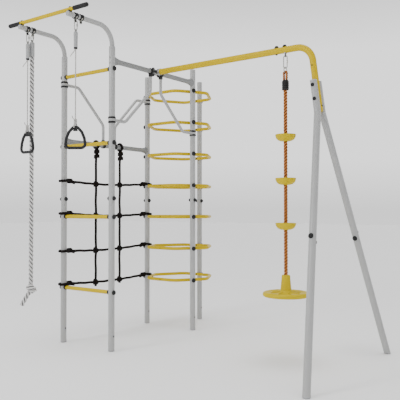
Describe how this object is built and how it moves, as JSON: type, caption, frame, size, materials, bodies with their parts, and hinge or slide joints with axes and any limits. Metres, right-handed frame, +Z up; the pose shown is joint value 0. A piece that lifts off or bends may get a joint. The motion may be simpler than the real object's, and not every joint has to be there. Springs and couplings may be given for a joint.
{
  "type": "outdoor climbing frame",
  "caption": "Outdoor monkey-bar climbing complex with a hexagon-ring tower, rope net, rung ladder, pull-up bar, gym rings, climbing rope and a disc swing on a long beam.",
  "frame": {"origin": "on the ground under the middle of the footprint box", "axes": "+Z up; +X along the long beam from the ring tower towards the splayed legs; +Y from the pull-up bar arms towards the ring tower"},
  "size_m": [2.5726, 2.0786, 2.664],
  "materials": {
    "steel_paint": "light warm grey powder coat",
    "yellow_paint": "bright yellow powder coat",
    "yellow_plastic": "moulded yellow plastic, satin",
    "black_rubber": "soft black foam rubber",
    "black_plastic": "moulded black plastic",
    "grey_plastic": "light grey plastic sleeve",
    "zinc_steel": "zinc plated steel",
    "white_rope": "twisted off-white and grey rope",
    "brown_rope": "twisted tan and brown rope",
    "net_rope": "dark brown braided rope"
  },
  "bodies": {
    "frame": {"post_lower_a": "steel_paint", "post_upper_a": "steel_paint", "post_lower_b": "steel_paint", "post_upper_b": "steel_paint", "post_lower_c": "steel_paint", "post_upper_c": "steel_paint", "post_lower_d": "steel_paint", "post_upper_d": "steel_paint", "post_lower_e": "steel_paint", "post_upper_e": "steel_paint", "arm_a": "steel_paint", "arm_b": "steel_paint", "pullup_bar": "yellow_paint", "grip_a": "black_rubber", "grip_b": "black_rubber", "top_beam": "yellow_paint", "beam_tee": "zinc_steel", "leg_upper_near": "steel_paint", "leg_lower_near": "steel_paint", "leg_upper_far": "steel_paint", "leg_lower_far": "steel_paint", "crossbar_upper": "steel_paint", "crossbar_net": "steel_paint", "brace_a": "steel_paint", "brace_b": "steel_paint", "brace_c": "steel_paint", "brace_d": "steel_paint", "rung_1": "yellow_paint", "rung_2": "yellow_paint", "rung_3": "yellow_paint", "rung_4": "yellow_paint", "ring_1": "yellow_paint", "ring_2": "yellow_paint", "ring_3": "yellow_paint", "ring_4": "yellow_paint", "ring_5": "yellow_paint", "ring_6": "yellow_paint", "ring_7": "yellow_paint", "net": "net_rope", "clamp_a_ring": "zinc_steel", "clamp_a_rope": "zinc_steel", "clamp_b_ring": "zinc_steel", "clamp_b_spare": "zinc_steel"},
    "gym_a_hook": {"gym_link_a": "zinc_steel"},
    "gym_a_set": {"gym_sleeve_a": "grey_plastic", "gym_cord_a": "white_rope", "gym_handle_a": "black_plastic"},
    "gym_b_hook": {"gym_link_b": "zinc_steel"},
    "gym_b_set": {"gym_sleeve_b": "grey_plastic", "gym_cord_b": "white_rope", "gym_handle_b": "black_plastic"},
    "climb_hook": {"climb_link": "zinc_steel"},
    "climb_set": {"climb_rope": "white_rope"},
    "swing_hook": {"swing_link": "zinc_steel"},
    "swing_set": {"swing_eye": "zinc_steel", "swing_rope": "brown_rope", "foot_disc_1": "yellow_plastic", "foot_disc_2": "yellow_plastic", "foot_disc_3": "yellow_plastic", "swing_seat": "yellow_plastic"}
  },
  "joints": [
    {"name": "gym_a_sideways", "type": "hinge", "parent": "frame", "child": "gym_a_hook", "pos_m": [-1.12334, -0.95425, 2.572], "axis": [0, -1, 0], "range_deg": [-30, 10]},
    {"name": "gym_a_fore_aft", "type": "hinge", "parent": "gym_a_hook", "child": "gym_a_set", "pos_m": [-1.12334, -0.95425, 2.5], "axis": [-1, 0, 0], "range_deg": [0, 30]},
    {"name": "gym_b_sideways", "type": "hinge", "parent": "frame", "child": "gym_b_hook", "pos_m": [-0.54934, -0.95425, 2.572], "axis": [0, -1, 0], "range_deg": [-10, 30]},
    {"name": "gym_b_fore_aft", "type": "hinge", "parent": "gym_b_hook", "child": "gym_b_set", "pos_m": [-0.54934, -0.95425, 2.5], "axis": [-1, 0, 0], "range_deg": [-12, 30]},
    {"name": "climb_sideways", "type": "hinge", "parent": "frame", "child": "climb_hook", "pos_m": [-1.12334, -0.91125, 2.572], "axis": [0, -1, 0], "range_deg": [-30, 15]},
    {"name": "climb_fore_aft", "type": "hinge", "parent": "climb_hook", "child": "climb_set", "pos_m": [-1.12334, -0.91125, 2.521], "axis": [1, 0, 0], "range_deg": [0, 6]},
    {"name": "swing_along", "type": "hinge", "parent": "frame", "child": "swing_hook", "pos_m": [0.74066, -0.02425, 2.302], "axis": [0, -1, 0], "range_deg": [-25, 8]},
    {"name": "swing_across", "type": "hinge", "parent": "swing_hook", "child": "swing_set", "pos_m": [0.74066, -0.02425, 2.206], "axis": [1, 0, 0], "range_deg": [-40, 40]}
  ]
}
